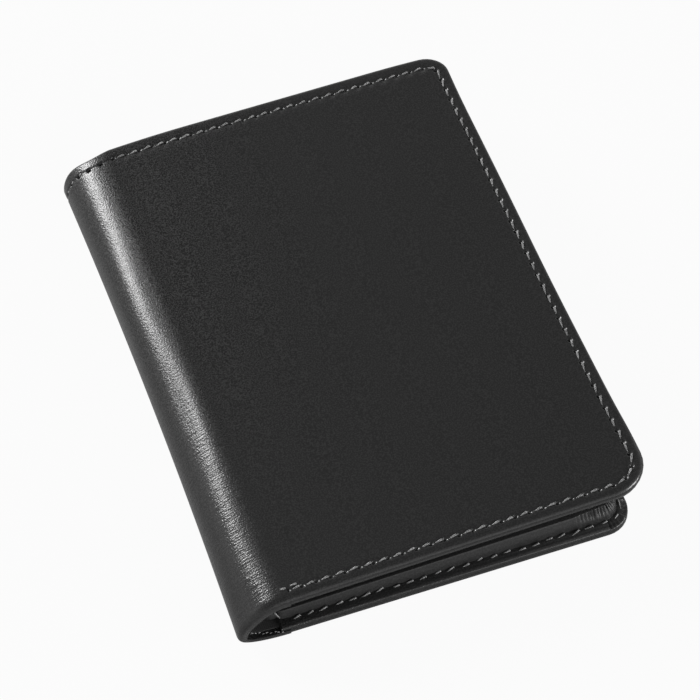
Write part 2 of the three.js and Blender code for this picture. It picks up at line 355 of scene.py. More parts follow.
def close_mesh(piece, place=Matrix.Identity(4), crease=40):
    """Welds a piece, lays it in place, turns its faces outwards and shades it."""
    bpy.ops.object.mode_set(mode="OBJECT")
    piece.data.transform(place)
    bpy.ops.object.mode_set(mode="EDIT")
    bpy.ops.mesh.select_mode(type="VERT")
    bpy.ops.mesh.select_all(action="SELECT")
    bpy.ops.mesh.remove_doubles(threshold=WELD)
    bpy.ops.mesh.dissolve_degenerate(threshold=WELD / 2)
    bpy.ops.mesh.select_all(action="SELECT")
    bpy.ops.mesh.normals_make_consistent(inside=False)
    bpy.ops.object.mode_set(mode="OBJECT")
    bpy.ops.object.shade_smooth_by_angle(angle=math.radians(crease))


def dress(piece, material, body, slot, *nodes):
    """Gives a piece its material, the body that it rides on and the solids that it stands for."""
    piece.data.materials.clear()
    piece.data.materials.append(material)
    if body:
        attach(piece, body)
    if nodes:
        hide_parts(*nodes)


def leather(name, tone, gloss, grain_depth, crease_depth=0.0):
    """Black hide: fine grain all over, and creases round the roll where it has been bent often. Its specks
    are painted stronger on the roll towards the far end, as glints where the soft box's light falls.
    """
    material = bpy.data.materials.new(name)
    tree = open_tree(material)
    place = tree.node("TexCoord", output="Object")
    across, along = (tree.node("SeparateXYZ", inputs={0: place}, output=axis) for axis in ("X", "Y"))
    cells = tree.node(
        "TexVoronoi", {"feature": "SMOOTH_F1"}, {"Vector": place, "Scale": 1 / GRAIN, "Smoothness": 0.5})
    pores = tree.node("TexNoise", inputs={"Vector": place, "Scale": 1 / GRAIN, "Detail": 1.0})
    blotch = tree.node("TexNoise", inputs={"Vector": place, "Scale": 1 / (9 * mm), "Detail": 3.0})
    stretched = place.scaled(1 / (2.6 * mm), 1 / (0.36 * mm), 1 / (2.6 * mm))
    lines = tree.node("TexNoise", inputs={"Vector": stretched, "Scale": 1.0, "Detail": 1.0})
    flat = across.ramp(*FLAT_ACROSS)
    worn = across.ramp(*WORN_ACROSS) * 1.2 + along.ramp(*WORN_ALONG) * 0.6 - 1.0
    bent = (1 - flat) * (1 - along.ramp(*CREASED_ALONG))
    grain = (cells * 0.7 + pores * 0.6) * (1 - flat * worn)
    fine = tree.node("Bump", inputs={"Strength": 1.0, "Distance": grain_depth, "Height": grain})
    creased = tree.node(
        "Bump", inputs={"Strength": 1.0, "Distance": crease_depth, "Height": lines * bent, "Normal": fine})
    # Painted glints: the grain's specks of colour and coat get more contrast where the soft box's light
    # falls, on the roll towards the far end; elsewhere they keep the grain's own tone.
    glint_share = 0.42 + (1 - across.ramp(*GLINT_ACROSS)) * along.ramp(*GLINT_ALONG) * 0.78
    speckle = 0.5 + (pores.ramp(0.4, 0.66) - 0.5) * glint_share
    surface = tree.node("BsdfPrincipled", inputs={
        "Base Color": speckle.blend_colours(grey(tone * 0.3), grey(tone * 2.0)),
        "Roughness": gloss + blotch * 0.03 + pores * 0.05,
        "Normal": creased,
        "Coat Weight": 0.1 + speckle * 0.4,
        "Coat Roughness": 0.5,
    })
    close_tree(tree, surface)
    return material


def clamp(share):
    """A share, held between 0 and 1."""
    return min(1.0, max(0.0, share))


def eased(share):
    """The same, with a soft start and end."""
    share = clamp(share)
    return share * share * (3 - 2 * share)


def soft_edge(inset, swell, drop):
    """Level of the outer face near its edge, where it rounds over the padding."""
    share = clamp(1 - inset / swell)
    return drop * (1 - math.sqrt(1 - share * share))


def far_share(y):
    """0 along the near edge, rising to 1 on the free and far edges."""
    return eased((y + HALF - FORM_START) / FORM_RUN)


def cover(name, edge, corners, rim, form, nose, seam):
    """A cover's leather, laid flat: its turned edge is swept round three sides, then the face filled."""
    (swell, drop), (far_swell, far_drop) = form
    insets = [CORNER, *reversed(SEAM_STRIP), 0.75 * mm, 0.4 * mm, 0.15 * mm, 0.04 * mm, 0.0]
    profile = [(inset, soft_edge(inset, swell, drop)) for inset in insets]
    for step in range(1, 5):
        turn = step / 4 * math.pi / 2
        profile.append((nose * (1 - math.cos(turn)), drop + (rim - drop) * math.sin(turn)))
    profile += [(CORNER, rim), (CORNER, rim - HEM), (EDGE_WALL, rim - HEM), (EDGE_WALL, SKIN), (CORNER, SKIN)]
    piece = draw_chain(name, [Vector((FOLD_X, inset - HALF, level)) for inset, level in profile])
    middle = edge - CORNER
    straight, side = middle - FOLD_X, 2 * (HALF - CORNER)
    steps, side_steps = round(straight / COARSE), round(side / COARSE)
    bpy.ops.mesh.extrude_repeat(steps=steps, offset=(straight / steps, 0, 0))
    bpy.ops.mesh.spin(steps=8, angle=math.pi / 2, center=(middle, CORNER - HALF, 0), axis=(0, 0, -1))
    bpy.ops.mesh.extrude_repeat(steps=side_steps, offset=(0, side / side_steps, 0))
    bpy.ops.mesh.spin(steps=8, angle=math.pi / 2, center=(middle, HALF - CORNER, 0), axis=(0, 0, -1))
    bpy.ops.mesh.extrude_repeat(steps=steps, offset=(-straight / steps, 0, 0))
    bpy.ops.mesh.select_all(action="SELECT")
    bpy.ops.mesh.remove_doubles(threshold=WELD)
    for level in (0.0, SKIN):
        pick("EDGE", lambda co: abs(abs(co.y) - HALF + CORNER) < CLOSE and abs(co.z - level) < CLOSE)
        bpy.ops.mesh.bridge_edge_loops(number_cuts=side_steps - 1, interpolation="LINEAR")
    near_line, far_line = SEAM_STRIP[0] - CLOSE, SEAM_STRIP[-1] + CLOSE

    def inset_of(co):
        dx, dy = co.x - middle, abs(co.y) - HALF + CORNER
        if dx > 0 and dy > 0:
            return CORNER - math.hypot(dx, dy)
        return CORNER - max(dx, dy)

    pick("FACE", lambda co: near_line < inset_of(co) < far_line and co.z < SKIN - CLOSE)
    bpy.ops.mesh.subdivide(number_cuts=FINE_CUTS)
    bpy.ops.object.mode_set(mode="OBJECT")

    def lay(co):
        """Gives a point of the even blank the real corner radii, which differ near and far."""
        share = clamp((co.y + HALF - CORNER) / side)
        radius = corners[0] + (corners[1] - corners[0]) * share
        inset = inset_of(co)
        if inset > far_line:
            inset = far_line + (inset - far_line) * (radius - far_line) / (CORNER - far_line)
        dx, dy = co.x - middle, abs(co.y) - HALF + CORNER
        x = FOLD_X + (co.x - FOLD_X) * (edge - radius - FOLD_X) / straight
        y = corners[0] - HALF + (2 * HALF - sum(corners)) * share
        if dx > 0 and dy > 0:
            angle = math.atan2(dx, dy)
            x = edge - radius + (radius - inset) * math.sin(angle)
            y = math.copysign(HALF - radius + (radius - inset) * math.cos(angle), co.y)
        elif dx > 0:
            x = edge - inset
        elif dy > 0:
            y = math.copysign(HALF - inset, co.y)
        return x, y

    def shape(co):
        """Rounds the outer face over its edge, less at the far one, and presses the seam into it."""
        inset = inset_of(co)
        x, y = lay(co)
        far = far_share(y)
        here_drop = drop + (far_drop - drop) * far
        outer = co.z < (drop + WELD / 2 if inset < EDGE_WALL - CLOSE else SKIN - CLOSE)
        if outer:
            z = soft_edge(inset, swell + (far_swell - swell) * far, here_drop)
            if near_line < inset < far_line:
                z += seam.pressed(x, y)
        elif inset < nose + CLOSE:
            z = here_drop + (co.z - drop) * (rim - here_drop) / (rim - drop)
        else:
            z = co.z
        return Vector((x, y, z))

    reshape(piece, shape)
    bpy.ops.object.mode_set(mode="EDIT")
    pick("EDGE", lambda co: abs(co.x - FOLD_X) < WELD / 2)
    bpy.ops.mesh.edge_face_add()
    return piece


FAR_PULL = 0.55 * mm  # the far edge is drawn in where it meets the fold, and at its corner
FOLD_RUN, CORNER_START, CORNER_RUN = 18 * mm, 28 * mm, 16 * mm
PULL_POWER = 6  # keeps these bows close to the edge
FREE_BOWS = (
    (-8 * mm, 24 * mm, -0.28 * mm),
    (-53 * mm, 10 * mm, 0.5 * mm),
    (59 * mm, 9 * mm, 0.36 * mm),
)  # where along the free edge, how wide and how far out


def hump(value, middle, spread):
    """1 at the middle, and fading to 0 on both sides."""
    return math.exp(-(((value - middle) / spread) ** 2))


def draw_in(co):
    """Where a point of the front ends up: its far and free edges are not quite straight."""
    by_fold = max(0.0, 1 - (co.x - FOLD_X) / FOLD_RUN)
    by_corner = max(0.0, (co.x - CORNER_START) / CORNER_RUN)
    y = co.y - FAR_PULL * (by_fold ** 2 + by_corner ** 2) * max(0.0, co.y / HALF) ** PULL_POWER
    outward = sum(reach * hump(co.y, middle, spread) for middle, spread, reach in FREE_BOWS)
    return Vector((co.x + outward * max(0.0, co.x / FRONT_EDGE) ** PULL_POWER, y, co.z))


cover_hide = leather("cover leather", 0.0125, 0.19, 0.055 * mm, 0.085 * mm)
front_seam = Seam(FRONT_EDGE, FRONT_CORNERS, *FRONT_SEAM_INSETS)
back_seam = Seam(BACK_EDGE, BACK_CORNERS, *BACK_SEAM_INSETS)
front_cover = cover("front_cover", FRONT_EDGE, FRONT_CORNERS, FRONT_RIM, FRONT_FORM, FRONT_NOSE, front_seam)
bpy.ops.object.mode_set(mode="OBJECT")
reshape(front_cover, draw_in)
close_mesh(front_cover, FRONT_PLACE)
dress(front_cover, cover_hide, "front", "cover_leather", "front_cover_leather")
back_cover = cover("back_cover", BACK_EDGE, BACK_CORNERS, BACK_RIM, BACK_FORM, BACK_NOSE, back_seam)
close_mesh(back_cover, BACK_PLACE)
dress(back_cover, cover_hide, "back", "cover_leather", "back_cover_leather")


# Fold leather.
# The same hide, carried from one cover to the other in a roll that leans to the table, with its two
# ends turned in. It is cut as three strips round the roll.
ROLL_REACH, ROLL_LEVEL = 11 * mm, 3.5 * mm  # how far the roll stands out, and at what height
ROLL_BOW = 1.0 * mm  # the roll is drawn in at the middle of its length
ROLL_SKIN = 1.0 * mm  # the hide is left full on the roll
END_HEM = 7 * mm  # the turned ends reach this far in
END_PULL = 1.1 * mm  # the far end is drawn in where the roll is tightest
END_PULL_TURN, END_PULL_SPREADS = 66, (24, 28.5)  # degrees: where, and how far below and above
# Use has left the shoulder of the roll uneven. Each form: where along it, how far it runs, how deep.
DENT_TURN, DENT_SPREAD = 57, 13  # pressed flat near the middle, and full towards the near end
DENTS = ((-9 * mm, 12.5 * mm, 0.26 * mm), (-42 * mm, 13 * mm, -0.08 * mm))
SHOULDERS = ((40, 22, -0.45), (72, 8, 0.05))  # twisted: out at one angle and in at the other
TWISTS = (
    (20 * mm, 19 * mm, 1.0 * mm),
    (50 * mm, 10 * mm, 0.4 * mm),
    (-20 * mm, 14 * mm, -0.3 * mm),
    (-60 * mm, 8 * mm, -1.2 * mm),
)
FOLD_STRIPS = (
    ("lower", -90, 8, "back", "fold_side"),
    ("side", 8, 47, "fold_side", "fold_top"),
    ("upper", 47, 90, "fold_top", "front"),
)
FOLD_BENDS = {"lower": (-62, 4), "side": (12, 43), "upper": (51, 86)}  # degrees where each strip flexes
FOLD_NODES = {
    "lower": ("spine_leather_1",),
    "side": ("spine_leather_2",),
    "upper": ("spine_leather_3", "spine_leather_4"),
}


def roll(degrees, depth, y):
    """A point of the roll, at an angle seen from its middle and a depth below its outer face."""
    angle = math.radians(degrees)
    rise = ROLL_LEVEL if degrees < 0 else THICK - ROLL_LEVEL
    reach = ROLL_REACH - ROLL_BOW * (1 - (y / HALF) ** 2) * math.cos(angle)
    dent = sum(deep * hump(y, middle, spread) for middle, spread, deep in DENTS)
    twist = sum(deep * hump(y, middle, spread) for middle, spread, deep in TWISTS)
    shoulder = sum(share * hump(degrees, middle, spread) for middle, spread, share in SHOULDERS)
    depth += dent * hump(degrees, DENT_TURN, DENT_SPREAD) + twist * shoulder
    z = ROLL_LEVEL + (rise - depth) * math.sin(angle)
    return Vector((FOLD_X - (reach - depth) * math.cos(angle), y, z))


FOLD_SEAM = HALF - FRONT_SEAM_INSETS[2]  # the far seam of the front runs on round the roll


def hole_angles():
    """Angles of the needle holes round the far end of the roll, from the front cover to the back."""
    angles, walked, here = [90.0], 0.0, roll(90, 0, FOLD_SEAM)
    for tenths in range(1, 1800):
        turn = 90 - tenths / 10
        there = roll(turn, 0, FOLD_SEAM)
        walked += (there - here).length
        here = there
        if walked >= PITCH:
            angles.append(turn)
            walked = 0.0
    return angles


FOLD_HOLES = hole_angles()


def fold_pressed(degrees, y):
    """How deep the thread draws in the leather round the far end of the roll."""
    beside = abs(y - FOLD_SEAM)
    if beside > 3 * GROOVE_REACH:
        return 0.0
    here = roll(degrees, 0, FOLD_SEAM)
    return thread_pull(min((here - roll(hole, 0, FOLD_SEAM)).length for hole in FOLD_HOLES), beside)


def rolled_strip(name, start, end, across, lengths, shape, seam=None):
    """Cuts a flat strip, two skins thick, and lays each of its points on the roll."""
    bpy.ops.object.select_all(action="DESELECT")
    bpy.ops.mesh.primitive_grid_add(x_subdivisions=across, y_subdivisions=lengths, size=2)
    piece = bpy.context.object
    piece.name = name
    bpy.ops.object.mode_set(mode="EDIT")
    bpy.ops.mesh.extrude_region_move(TRANSFORM_OT_translate={"value": (0, 0, -1)})
    if seam:
        row, near = math.asin(seam / HALF) * 2 / math.pi, 5 / lengths  # within two rows and a half
        pick("FACE", lambda co: abs(co.y - row) < near and co.z > -0.01)
        bpy.ops.mesh.subdivide(number_cuts=FINE_CUTS)
    bpy.ops.object.mode_set(mode="OBJECT")
    edge_share = 0.004  # a narrow last facet makes the shading run on into the next strip

    def bend(co):
        share = (co.x + 1) / 2
        if 0 < share < 1:
            share = edge_share + (1 - 2 * edge_share) * (share * across - 1) / (across - 2)
        degrees = start + (end - start) * share
        return shape(degrees, math.sin(co.y * math.pi / 2) * HALF, co.z < -0.5)

    reshape(piece, bend)
    bpy.ops.object.mode_set(mode="EDIT")
    return piece


def end_hem(degrees, y):
    """How much the turned hem thickens the roll towards its ends, as much as each cover's own rim."""
    rim = BACK_RIM + (FRONT_RIM - BACK_RIM) * ((degrees + 90) / 180) ** 2
    return (rim - ROLL_SKIN) * (1 - min(1, (HALF - abs(y)) / END_HEM) ** 2)


def fold_skin(degrees, y, inner):
    """The hide on the roll: rounded over and turned in at both ends."""
    inset = HALF - abs(y)
    share = (degrees + 90) / 180
    swell, drop = (low + (top - low) * share for low, top in zip(BACK_FORM[y > 0], FRONT_FORM[y > 0]))
    if inner:
        nose = clamp(1 - inset / BACK_NOSE)
        depth = drop + (ROLL_SKIN + end_hem(degrees, y) - drop) * math.sqrt(1 - nose * nose)
    else:
        depth = soft_edge(inset, swell, drop) + fold_pressed(degrees, y)
    if y > 0:
        spread = END_PULL_SPREADS[degrees > END_PULL_TURN]
        y -= END_PULL * hump(degrees, END_PULL_TURN, spread) * (y / HALF) ** PULL_POWER
    return roll(degrees, depth, y)


def flex(piece, part):
    """Bakes a piece's placement into its points. The points where its strip of the roll would bend are found
    but not used.
    """
    start, end = (roll(turn, 0, 0) for turn in FOLD_BENDS[part])
    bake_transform(piece)


for part, start, end, body, next_body in FOLD_STRIPS:
    strip = rolled_strip("fold_" + part, start, end, round((end - start) / 2.5), 110, fold_skin, FOLD_SEAM)
    close_mesh(strip)
    dress(strip, cover_hide, None, "cover_leather", *FOLD_NODES[part])
    flex(strip, part)


# Fold lining.
# A strip of black woven cloth, glued inside the roll and over its turned ends. It is cut where the
# leather is, and shows at the two open ends.
LINING_DEPTH, LINING = 1.1 * mm, 0.3 * mm  # below the outer face of the roll, and how thick
LINING_INSET = 1.5 * mm  # from the ends of the roll


def cloth(name, tone):
    """Plain weave: two sets of threads at right angles."""
    material = bpy.data.materials.new(name)
    tree = open_tree(material)
    place = tree.node("TexCoord", output="Object")
    waves = []
    for direction in ("Y", "X"):
        settings = {"wave_type": "BANDS", "bands_direction": direction}
        inputs = {"Vector": place, "Scale": 1 / (1.3 * mm), "Distortion": 1.0}
        waves.append(tree.node("TexWave", settings, inputs, output=1))
    weave = waves[0] * waves[1]
    fuzz = tree.node("TexNoise", inputs={"Vector": place, "Scale": 1 / (0.5 * mm), "Detail": 3.0})
    bump = tree.node("Bump", inputs={"Strength": 0.8, "Distance": 0.05 * mm, "Height": weave + fuzz * 0.5})
    colour = (weave * 0.7 + fuzz * 0.3).blend_colours(grey(tone * 0.6), grey(tone * 1.6))
    surface = tree.node("BsdfPrincipled", inputs={
        "Base Color": colour, "Roughness": 0.75 + fuzz * 0.15, "Normal": bump, "Sheen Weight": 0.2})
    close_tree(tree, surface)
    return material


lining_cloth = cloth("black lining cloth", 0.012)
LINING_NODES = {
    "lower": ("spine_lining_1",),
    "side": ("spine_lining_2",),
    "upper": ("spine_lining_3", "spine_lining_4"),
}


def fold_cloth(degrees, y, inner):
    y *= 1 - LINING_INSET / HALF
    return roll(degrees, LINING_DEPTH + end_hem(degrees, y) + (LINING if inner else 0), y)


for part, start, end, body, next_body in FOLD_STRIPS:
    strip = rolled_strip("fold_lining_" + part, start, end, round((end - start) / 5), 40, fold_cloth)
    close_mesh(strip)
    dress(strip, lining_cloth, None, "lining_cloth", *LINING_NODES[part])
    flex(strip, part)
    turns = [start + (end - start) * step / 20 for step in range(21)]
    points = [fold_cloth(turn, 0, False) for turn in turns]
    across = sum((there - here).length for here, there in zip(points, points[1:]))
    # no sheet is declared under 10 mm
    length, width = 2 * (HALF - LINING_INSET), max(across, 10 * mm)  # the width is held to at least 10 mm


# Boards and compartment linings.
# A board of pressed black fibre stiffens each cover. The cloth of the note compartment is glued over
# it, with its edge under the turned hem.
def fibre_board(name):
    material = bpy.data.materials.new(name)
    tree = open_tree(material)
    place = tree.node("TexCoord", output="Object")
    fibres = tree.node("TexNoise", inputs={"Vector": place, "Scale": 1 / (0.8 * mm), "Detail": 5.0})
    colour = fibres.blend_colours(grey(0.012), grey(0.03))
    bump = tree.node("Bump", inputs={"Strength": 0.6, "Distance": 0.03 * mm, "Height": fibres})
    close_tree(tree, tree.node("BsdfPrincipled", inputs={
        "Base Color": colour, "Roughness": 0.8 + fibres * 0.15, "Normal": bump}))
    return material


board_fibre = fibre_board("black fibre board")
for name in ("front_board", "back_board"):
    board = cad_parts[name]
    board.data.materials.clear()
    board.data.materials.append(board_fibre)


def cut_blank(name, left, edge, low, high, level):
    """Starts a piece, in edit mode, as a flat rectangle at a level."""
    bpy.ops.object.select_all(action="DESELECT")
    bpy.ops.mesh.primitive_plane_add(size=1, location=((left + edge) / 2, (low + high) / 2, level))
    piece = bpy.context.object
    piece.name = name
    piece.scale = (edge - left, high - low, 1)
    bpy.ops.object.transform_apply(location=True, rotation=True, scale=True)
    bpy.ops.object.mode_set(mode="EDIT")
    return piece


def flat_sheet(name, left, edge, low, high, level, thickness, corners, segments=10):
    """A flat piece with round corners at its free edge, its upper face at a level, in edit mode."""
    piece = cut_blank(name, left, edge, low, high, level)
    for y, corner in zip((low, high), corners):
        pick("VERT", lambda co: co.x > edge - CLOSE and abs(co.y - y) < CLOSE)
        bpy.ops.mesh.bevel(affect="VERTICES", offset=corner, segments=segments)
    bpy.ops.mesh.select_all(action="SELECT")
    bpy.ops.mesh.extrude_region_move(TRANSFORM_OT_translate={"value": (0, 0, -thickness)})
    return piece


TUCK = 4.5 * mm  # edge of the cloth to the edge of the cover
CLOTH, GLUE = 0.08 * mm, 0.01 * mm  # how thick the cloth is, and the glue under the hem
for side, edge, rim, place in (
    ("front", FRONT_EDGE, FRONT_RIM, FRONT_PLACE),
    ("back", BACK_EDGE, BACK_RIM, BACK_PLACE),
):
    top = HALF - TUCK
    level = rim - HEM - GLUE
    lining = flat_sheet(side + "_compartment_cloth", FOLD_X, edge - TUCK, -top, top, level, CLOTH, (mm, mm))
    close_mesh(lining, place)
    dress(lining, lining_cloth, side, "lining_cloth", side + "_lining")
    2 * top


# Inner panels.
# A thinner leather lines each half and backs its card slots. Its three sewn edges are turned under,
# and the seam of the cover comes through just inside them.
PANEL_X = {"front": -33 * mm, "back": -35 * mm}  # where each ends by the fold
PANEL, PANEL_HEM = 0.45 * mm, 1.6 * mm  # how thick it is, and how much is turned under
PANEL_RINGS = (0.08 * mm, 0.14 * mm, 0.24 * mm, 0.34 * mm, 0.42 * mm, 0.5 * mm)
PANEL_SWELL, PANEL_DROP = sum(PANEL_RINGS), 0.72 * mm  # the sewn edge is pressed down
HEM_DROP = 0.55 * PANEL_DROP  # and the turned hem with it
GATHER_DEPTH, GATHER_WIDTH = 0.34 * mm, 0.045  # folds round the sewn corners, their width in radians
GATHER_FIRST, GATHER_LAST, GATHER_STEPS = 0.05, 1.4, (0.1, 0.24)
PANEL_INSET = {"front": 1.65 * mm, "back": 0.12 * mm}  # from the edge of the cover
NOTE_ROOM = 0.49 * mm  # the turned edge stands on the hem and leaves this for notes
PANEL_TOP = {"front": FRONT_RIM + 0.95 * mm, "back": BACK_RIM + 0.95 * mm}
panel_hide = leather("panel leather", 0.014, 0.3, 0.09 * mm)
gather = random.Random(8)
PLACES = {"front": FRONT_PLACE, "back": BACK_PLACE}


def panel_inset(co, edge, half, corners):
    """How far in from its three sewn edges a point of a panel lies, and how far round a corner."""
    corner = corners[co.y > 0]
    dx, dy = co.x - edge + corner, abs(co.y) - half + corner
    if dx > 0 and dy > 0:
        return corner - math.hypot(dx, dy), math.atan2(dx, dy)
    return corner - max(dx, dy), None


for side, edge, corners in (("front", FRONT_EDGE, FRONT_CORNERS), ("back", BACK_EDGE, BACK_CORNERS)):
    inset, left, level = PANEL_INSET[side], PANEL_X[side], PANEL_TOP[side]
    top, reach, under = HALF - inset, edge - inset, level - PANEL
    bends = [corner - inset for corner in corners]
    panel = flat_sheet(side + "_panel", left, reach, -top, top, level, PANEL, bends, segments=30)
    pick("FACE", lambda co: co.z < under + CLOSE)
    bpy.ops.mesh.inset(thickness=PANEL_HEM)
    pick("FACE", lambda co: co.z < under + CLOSE and co.x > left + PANEL_HEM and (
        co.x > edge - 5 * mm or abs(co.y) > 20 * mm))
    bpy.ops.mesh.extrude_region_move(TRANSFORM_OT_translate={"value": (0, 0, -NOTE_ROOM)})
    pick("FACE", lambda co: co.z > level - CLOSE)
    for ring in PANEL_RINGS:
        bpy.ops.mesh.inset(thickness=ring)
    bpy.ops.object.mode_set(mode="OBJECT")
    folds = [GATHER_FIRST]
    while folds[-1] < GATHER_LAST:
        folds.append(folds[-1] + gather.uniform(*GATHER_STEPS))

    def press(co):
        """Rounds the panel down to its sewn edge and gathers it at the corners."""
        inner, turn = panel_inset(co, reach, top, bends)
        z = co.z
        if z > under + CLOSE:
            z -= soft_edge(inner, PANEL_SWELL, PANEL_DROP)
            if turn is not None and inner < PANEL_SWELL:
                full = sum(hump(turn, angle, GATHER_WIDTH) for angle in folds)
                z -= GATHER_DEPTH * full * math.sin(max(0.0, inner) / PANEL_SWELL * math.pi)
        elif inner < CLOSE and z > under - CLOSE:
            z -= HEM_DROP
        return Vector((co.x, co.y, z))

    reshape(panel, press)
    close_mesh(panel, PLACES[side])
    dress(panel, panel_hide, side, "slot_leather", side + "_inner_panel", side + "_panel_allowance")


# Card slots.
# Two stepped pockets of the inner leather on each panel, one lip below the other. Their sewn edges
# are boxed down to the panel, and the corner at the foot is gathered into small pleats.
SLOT = 0.5 * mm
SLOT_LEFT = {"front": (-32.8 * mm, -33.5 * mm), "back": (-37.6 * mm, -35.4 * mm)}  # ends by the fold
SLOT_STEP = 0.65 * mm  # the lower pocket lies this far inside the upper one's walls
LIPS = (48 * mm, 36 * mm)  # of the lower and upper pocket, along the wallet
SLOT_TOPS = {"front": (5.1 * mm, 7.2 * mm), "back": (3.6 * mm, 4.4 * mm)}  # above the outer face
POCKET_RISE = {"front": (0.0, 0.0), "back": (0.5 * mm, 1.35 * mm)}  # fullness at the free edge
SLOT_EDGES = {"front": (41.2 * mm, -57.2 * mm), "back": (39.2 * mm, -57.7 * mm)}  # free edge and foot
FOOT_CORNER, FOLD_CORNER = 4.2 * mm, 1.8 * mm
# How far the boxed edge leans in.
POCKET_PAD = {"front": (0.6 * mm, 0.8 * mm), "back": (0.5 * mm, 0.7 * mm)}
SHOULDER, SHOULDER_PAD = 0.92, 0.12 * mm  # where it rounds over at its top, and how far
WALL_ROWS = 10  # steps down the boxed edge
SLOPE, SLOPE_START, SLOPE_RUN = 1.0 * mm, 0.45, 12 * mm  # beside the corner the upper part lies back
PLEAT_STEP, PLEAT_RUN = 0.16 * mm, 6.4 * mm  # fineness of the edge, and how far pleats run past the corner
PLEAT_START, PLEAT_FADE, PLEAT_END = 0.35, 0.25, 0.05  # shares of the wall, from its foot and its top
PLEAT_GAPS, PLEAT_DEPTHS, PLEAT_WIDTH = (0.5, 1.2), (0.3, 0.75), 0.2 * mm  # the first two in millimetres
inner_hide = leather("inner leather", 0.014, 0.4, 0.03 * mm)
CREASES = (0.95 * mm, 1.1 * mm, 1.5 * mm, 1.9 * mm, 2.05 * mm)  # lines of the creased border below a lip
CREASE_DEPTH = 0.12 * mm


def add_modifier(piece, kind, **settings):
    """Adds a modifier, sets it and applies it."""
    modifier = piece.modifiers.new(kind.lower(), kind)
    for name, value in settings.items():
        setattr(modifier, name, value)
    bpy.ops.object.modifier_apply(modifier=modifier.name)


def pocket(name, left, edge, foot, lip, top, base, rise, pad):
    """A pocket's leather, laid flat: a sheet whose foot and sides round down to the panel."""
    piece = cut_blank(name, left, edge, foot, lip, top)
    for x, radius, segments in ((edge, FOOT_CORNER, 36), (left, FOLD_CORNER, 14)):
        pick("VERT", lambda co: co.y < foot + CLOSE and abs(co.x - x) < CLOSE)
        bpy.ops.mesh.bevel(affect="VERTICES", offset=radius, segments=segments)
    corner = Vector((edge - FOOT_CORNER, foot + FOOT_CORNER, 0))
    fold_corner = Vector((left + FOLD_CORNER, foot + FOLD_CORNER, 0))
    cuts = [((0, lip - line, 0), (0, 1, 0)) for line in CREASES]
    steps = round(PLEAT_RUN / PLEAT_STEP)
    for step in range(steps):
        shift = PLEAT_RUN * step / steps
        cuts.append(((corner.x - shift, 0, 0), (1, 0, 0)))
        cuts.append(((0, corner.y + shift, 0), (0, 1, 0)))
    for point, normal in cuts:
        bpy.ops.mesh.select_all(action="SELECT")
        bpy.ops.mesh.bisect(plane_co=point, plane_no=normal)
    pick("VERT", lambda co: abs(co.y - lip + CREASES[2]) < CLOSE)
    bpy.ops.transform.translate(value=(0, 0, -CREASE_DEPTH))
    pick("EDGE", lambda co: abs(co.y - lip) > CLOSE, open_only=True)
    levels = [math.sin((1 - row / WALL_ROWS) * math.pi / 2) for row in range(WALL_ROWS + 1)]
    for here, there in zip(levels, levels[1:]):
        drop = (top - base) * (there - here)
        bpy.ops.mesh.extrude_region_move(TRANSFORM_OT_translate={"value": (0, 0, drop)})
    bpy.ops.mesh.select_all(action="SELECT")
    bpy.ops.mesh.normals_make_consistent(inside=False)
    bpy.ops.object.mode_set(mode="OBJECT")

    def outward(co):
        """How far round the outline from the foot's corner a point lies, and the way out of the pocket."""
        away = Vector((co.x, co.y, 0)) - corner
        turned = Vector((co.x, co.y, 0)) - fold_corner
        if away.x > 0 and away.y < 0:
            return FOOT_CORNER * math.atan2(away.x, -away.y), away.normalized()
        if turned.x < 0 and turned.y < 0:
            return away.x, turned.normalized()
        if abs(co.x - edge) < CLOSE:
            return turn + away.y, Vector((1, 0, 0))
        if abs(co.x - left) < CLOSE:
            return -HALF, Vector((-1, 0, 0))
        return away.x, Vector((0, -1, 0))

    def on_outline(co):
        turned, away = Vector((co.x, co.y, 0)) - fold_corner, Vector((co.x, co.y, 0)) - corner
        if away.x > 0 and away.y < 0:
            return away.length > FOOT_CORNER - CLOSE
        if turned.x < 0 and turned.y < 0:
            return turned.length > FOLD_CORNER - CLOSE
        return co.y < foot + CLOSE or co.x < left + CLOSE or co.x > edge - CLOSE

    turn = FOOT_CORNER * math.pi / 2
    pleats = [(-PLEAT_RUN, 0.0)]
    while pleats[-1][0] < turn + 2 * mm:
        where = pleats[-1][0] + gather.uniform(*PLEAT_GAPS) * mm
        pleats.append((where, gather.uniform(*PLEAT_DEPTHS) * mm))

    def pad_out(co):
        """Leans the boxed edge in towards its top, and gathers it into pleats about the corner."""
        share = (co.z - base) / (top - base)
        lift = Vector((0, 0, rise * share * ((co.x - left) / (edge - left)) ** 2))
        if not on_outline(co):
            return co + lift
        run, out = outward(co)
        over = clamp((share - SHOULDER) / (1 - SHOULDER))
        moved = -pad * share - SHOULDER_PAD * (1 - math.sqrt(1 - over * over))
        away = max(-run, run - turn, 0)
        moved -= SLOPE * max(0.0, share - SLOPE_START) / (1 - SLOPE_START) * max(0.0, 1 - away / SLOPE_RUN)
        past = away / PLEAT_RUN
        if past < 1:
            high = clamp((share - PLEAT_START) / PLEAT_FADE) * min(1, (1 - share) / PLEAT_END)
            full = sum(deep * hump(run, where, PLEAT_WIDTH) for where, deep in pleats)
            moved -= full * (1 - past * past) * high
        return co + out * moved + lift

    reshape(piece, pad_out)
    add_modifier(piece, "SOLIDIFY", thickness=SLOT, offset=-1)
    sharp = math.radians(70)
    add_modifier(piece, "BEVEL", width=0.16 * mm, segments=2, limit_method="ANGLE", angle_limit=sharp)
    bpy.ops.object.mode_set(mode="EDIT")
    return piece


